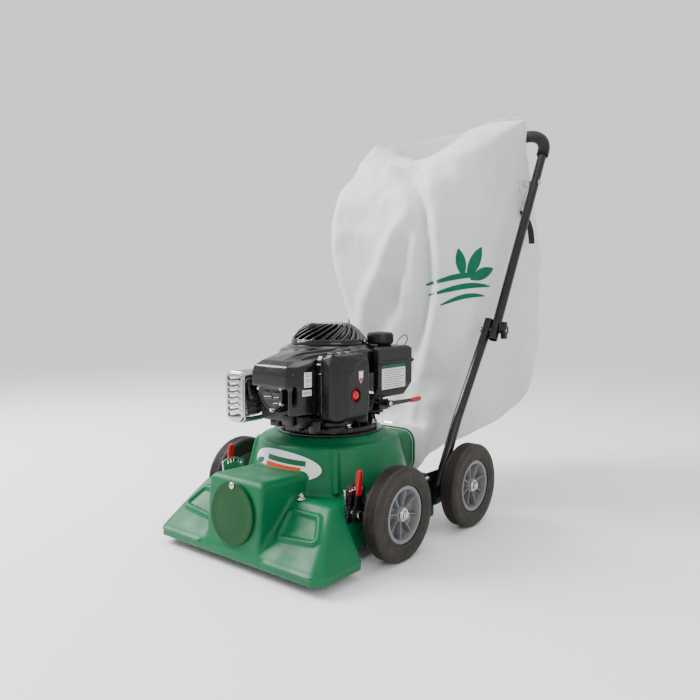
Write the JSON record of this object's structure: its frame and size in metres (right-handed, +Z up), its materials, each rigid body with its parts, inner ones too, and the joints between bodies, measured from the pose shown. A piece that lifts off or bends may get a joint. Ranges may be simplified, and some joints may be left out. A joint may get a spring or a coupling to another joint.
{
  "type": "leaf vacuum mulcher",
  "caption": "Walk-behind leaf vacuum: wide nozzle and turret housing with engine-driven impeller, wheels with height levers, folding handle and rear debris bag.",
  "frame": {"origin": "on the ground, under the centre of the bounding box", "axes": "+X to the operator's left as they stand behind the machine facing the front at -Y; +Y from nozzle to bag; +Z up"},
  "size_m": [0.536, 1.162, 1.068],
  "materials": {
    "green_plastic": "moulded, slight orange peel",
    "dark_green_plastic": "moulded",
    "black_gloss_plastic": "glossy",
    "black_satin_plastic": "fine grain",
    "black_paint": "powder coat",
    "cast_aluminium": "as cast",
    "bright_steel": "pressed",
    "zinc_plate": "zinc plated",
    "tyre_rubber": "ribbed tread",
    "grey_plastic": "moulded",
    "grip_foam": "closed-cell foam",
    "red_vinyl": "dipped",
    "bag_fabric": "woven polyester"
  },
  "bodies": {
    "chassis": {"nozzle_housing": "green_plastic", "impeller_inlet_plate": "black_paint", "bottom_pan": "black_paint", "discharge_collar": "black_paint", "deck_nut_right": "zinc_plate", "deck_nut_left": "zinc_plate", "port_screw": "zinc_plate", "height_quadrant_right": "black_paint", "height_quadrant_left": "black_paint", "rear_bracket_right": "black_paint", "rear_bracket_left": "black_paint", "engine_plate": "black_paint", "crankcase": "cast_aluminium", "cylinder": "cast_aluminium", "cylinder_head": "cast_aluminium", "valve_cover": "black_gloss_plastic", "spark_plug": "bright_steel", "muffler": "bright_steel", "muffler_guard": "bright_steel", "blower_housing": "black_gloss_plastic", "starter_cover": "black_gloss_plastic", "air_filter_base": "black_gloss_plastic", "air_filter_cover": "black_satin_plastic", "carburetor": "cast_aluminium", "throttle_bracket": "black_paint", "fuel_tank": "black_satin_plastic", "cap_tether": "black_satin_plastic", "lower_handle_right": "black_paint", "lower_handle_left": "black_paint", "fold_bolt_right": "zinc_plate", "fold_bolt_left": "zinc_plate", "debris_bag": "bag_fabric", "bag_clamp": "zinc_plate"},
    "port_door": {"port_cover": "dark_green_plastic"},
    "rotor": {"impeller": "black_paint", "impeller_bolt": "zinc_plate", "crankshaft": "bright_steel", "flywheel": "cast_aluminium"},
    "starter_pull_body": {"starter_grip": "black_satin_plastic"},
    "pulley": {"starter_pulley": "black_satin_plastic"},
    "tank_cap": {"fuel_cap": "black_satin_plastic"},
    "primer": {"primer_bulb": "red_vinyl"},
    "throttle": {"throttle_lever": "red_vinyl"},
    "handle": {"upper_handle": "black_paint", "foam_grip": "grip_foam", "eye_bolt_right": "zinc_plate", "eye_bolt_left": "zinc_plate"},
    "arm_right": {"height_arm_right": "zinc_plate"},
    "knob_right": {"fold_knob_right": "black_satin_plastic"},
    "wheel_front_right": {"tyre_front_right": "tyre_rubber", "hub_front_right": "grey_plastic"},
    "wheel_rear_right": {"tyre_rear_right": "tyre_rubber", "hub_rear_right": "grey_plastic"},
    "arm_left": {"height_arm_left": "zinc_plate"},
    "knob_left": {"fold_knob_left": "black_satin_plastic"},
    "wheel_front_left": {"tyre_front_left": "tyre_rubber", "hub_front_left": "grey_plastic"},
    "wheel_rear_left": {"tyre_rear_left": "tyre_rubber", "hub_rear_left": "grey_plastic"}
  },
  "joints": [
    {"name": "height_right", "type": "hinge", "parent": "chassis", "child": "arm_right", "pos_m": [0.2005, -0.408, 0.112], "axis": [1, 0, 0], "range_deg": [-14, 8]},
    {"name": "front_wheel_right", "type": "hinge", "parent": "arm_right", "child": "wheel_front_right", "pos_m": [0.2445, -0.322, 0.1016], "axis": [1, 0, 0], "continuous": true},
    {"name": "rear_wheel_right", "type": "hinge", "parent": "chassis", "child": "wheel_rear_right", "pos_m": [0.2445, -0.027, 0.1016], "axis": [1, 0, 0], "continuous": true},
    {"name": "height_left", "type": "hinge", "parent": "chassis", "child": "arm_left", "pos_m": [-0.2005, -0.408, 0.112], "axis": [1, 0, 0], "range_deg": [-14, 8]},
    {"name": "front_wheel_left", "type": "hinge", "parent": "arm_left", "child": "wheel_front_left", "pos_m": [-0.2445, -0.322, 0.1016], "axis": [1, 0, 0], "continuous": true},
    {"name": "rear_wheel_left", "type": "hinge", "parent": "chassis", "child": "wheel_rear_left", "pos_m": [-0.2445, -0.027, 0.1016], "axis": [1, 0, 0], "continuous": true},
    {"name": "port_swing", "type": "hinge", "parent": "chassis", "child": "port_door", "pos_m": [0, -0.56384, 0.171], "axis": [0, -0.9962, 0.0872], "range_deg": [-100, 100]},
    {"name": "engine_spin", "type": "hinge", "parent": "chassis", "child": "rotor", "pos_m": [0, -0.266, 0.3], "axis": [0, 0, 1], "continuous": true},
    {"name": "starter_pull", "type": "slide", "parent": "chassis", "child": "starter_pull_body", "axis": [-1, 0, 0], "range_m": [0, 0.14], "stiffness_N_per_m": 40, "springref_m": -0.02},
    {"name": "pulley_turn", "type": "hinge", "parent": "chassis", "child": "pulley", "pos_m": [0, -0.266, 0.463], "axis": [0, 0, 1], "range_deg": [0, 240]},
    {"name": "cap_turn", "type": "hinge", "parent": "chassis", "child": "tank_cap", "pos_m": [0.084, -0.176, 0.46], "axis": [0, 0, 1], "continuous": true},
    {"name": "primer_press", "type": "slide", "parent": "chassis", "child": "primer", "axis": [-1, 0, 0], "range_m": [0, 0.005], "stiffness_N_per_m": 600},
    {"name": "throttle_move", "type": "hinge", "parent": "chassis", "child": "throttle", "pos_m": [0.142, -0.219, 0.315], "axis": [1, 0, 0], "range_deg": [-15, 25]},
    {"name": "handle_fold", "type": "hinge", "parent": "chassis", "child": "handle", "pos_m": [0, 0.127, 0.475], "axis": [1, 0, 0], "range_deg": [0, 110], "deforming": ["debris_bag"]},
    {"name": "knob_turn_right", "type": "hinge", "parent": "chassis", "child": "knob_right", "pos_m": [0.252, 0.127, 0.475], "axis": [1, 0, 0], "continuous": true},
    {"name": "knob_turn_left", "type": "hinge", "parent": "chassis", "child": "knob_left", "pos_m": [-0.252, 0.127, 0.475], "axis": [1, 0, 0], "continuous": true}
  ],
  "couplings": [
    {"joint": "pulley_turn", "follows": "starter_pull", "rad_per_m": 29.412}
  ]
}
